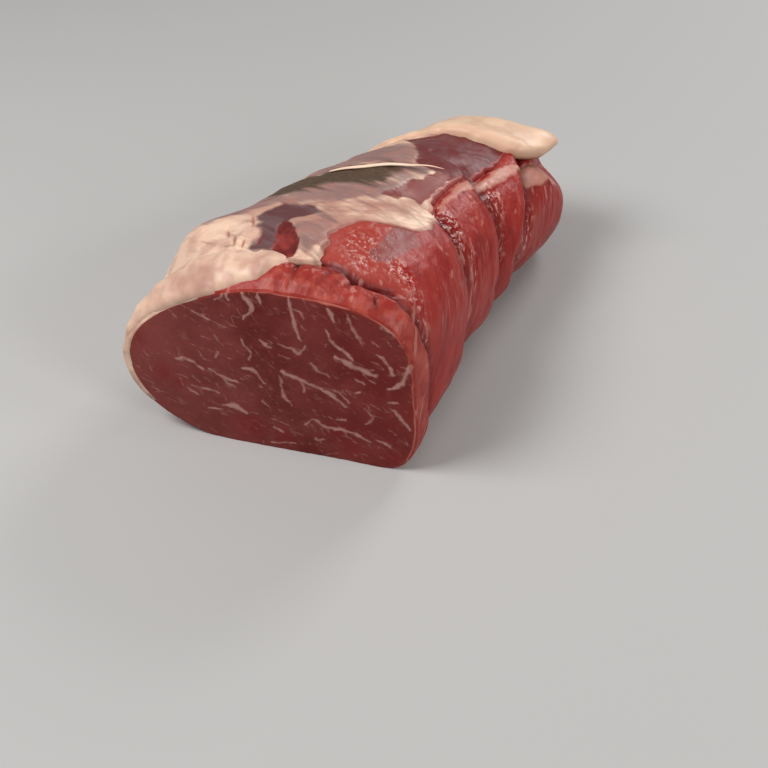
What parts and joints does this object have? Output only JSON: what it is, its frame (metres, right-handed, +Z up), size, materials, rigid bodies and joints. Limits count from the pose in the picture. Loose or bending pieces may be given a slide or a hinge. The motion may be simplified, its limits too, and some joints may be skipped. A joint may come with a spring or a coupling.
{
  "type": "raw beef roasting joint",
  "caption": "Raw boned beef roasting joint, cut square at the front, its side pinched into lobes by removed ties, with a fat cover along the upper left.",
  "frame": {"origin": "middle of the joint's footprint, on the surface it rests on", "axes": "+Y from the cut face to the domed rear end, +X to the joint's right as seen from the cut face, +Z up"},
  "size_m": [0.1662, 0.2378, 0.1086],
  "materials": {
    "lean": null,
    "fat": null
  },
  "bodies": {
    "root": {"lean_muscle": "lean", "fat_cover": "fat"}
  },
  "joints": []
}
